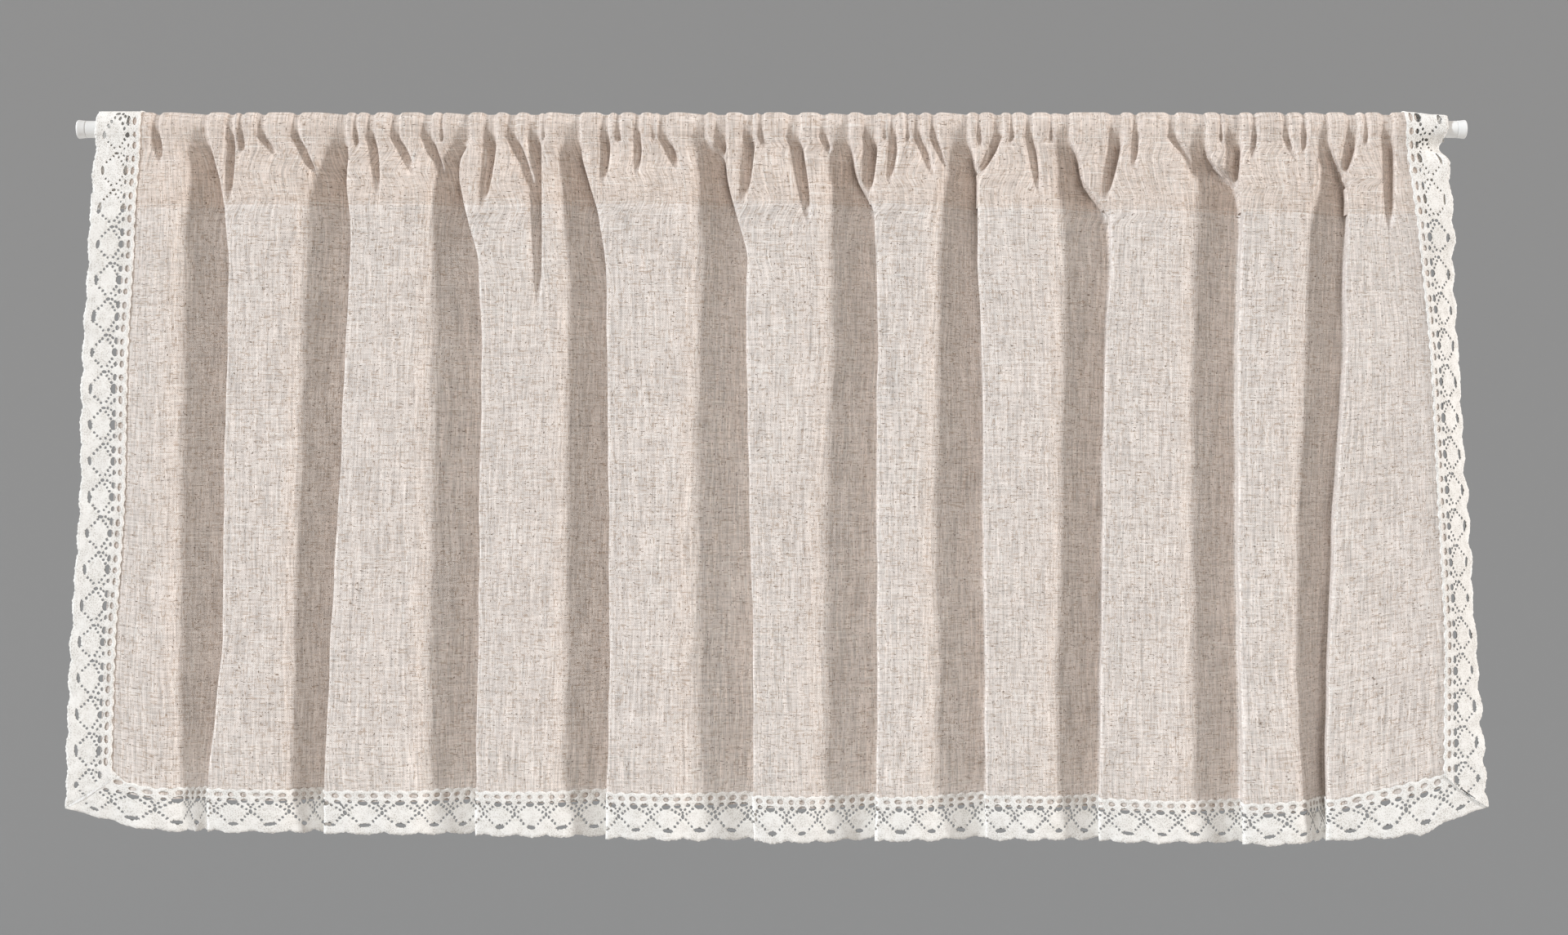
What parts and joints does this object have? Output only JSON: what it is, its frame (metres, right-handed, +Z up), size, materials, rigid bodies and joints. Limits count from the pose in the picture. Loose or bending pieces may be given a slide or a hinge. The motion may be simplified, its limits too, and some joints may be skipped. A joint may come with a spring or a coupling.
{
  "type": "cafe curtain on rod",
  "caption": "Short gathered linen cafe curtain with cotton lace down both sides and along the hem, hung by its rod pocket on a plain round rod with end caps.",
  "frame": {"origin": "centre of the flat outer face of the rod's left end cap, on the rod's axis", "axes": "+X along the rod to its right end, -Y to the room side that shows the lace, +Z up"},
  "size_m": [1.1689, 0.0351, 0.6063],
  "materials": {
    "linen": "matt plain weave with brown slubs",
    "lace": "matt off-white cotton lace",
    "rod": "satin white paint",
    "rod_cap": "matt white"
  },
  "bodies": {
    "root": {"linen_panel": "linen", "lace_left": "lace", "lace_right": "lace", "lace_bottom": "lace", "rod": "rod", "rod_cap_left": "rod_cap", "rod_cap_right": "rod_cap"}
  },
  "joints": []
}
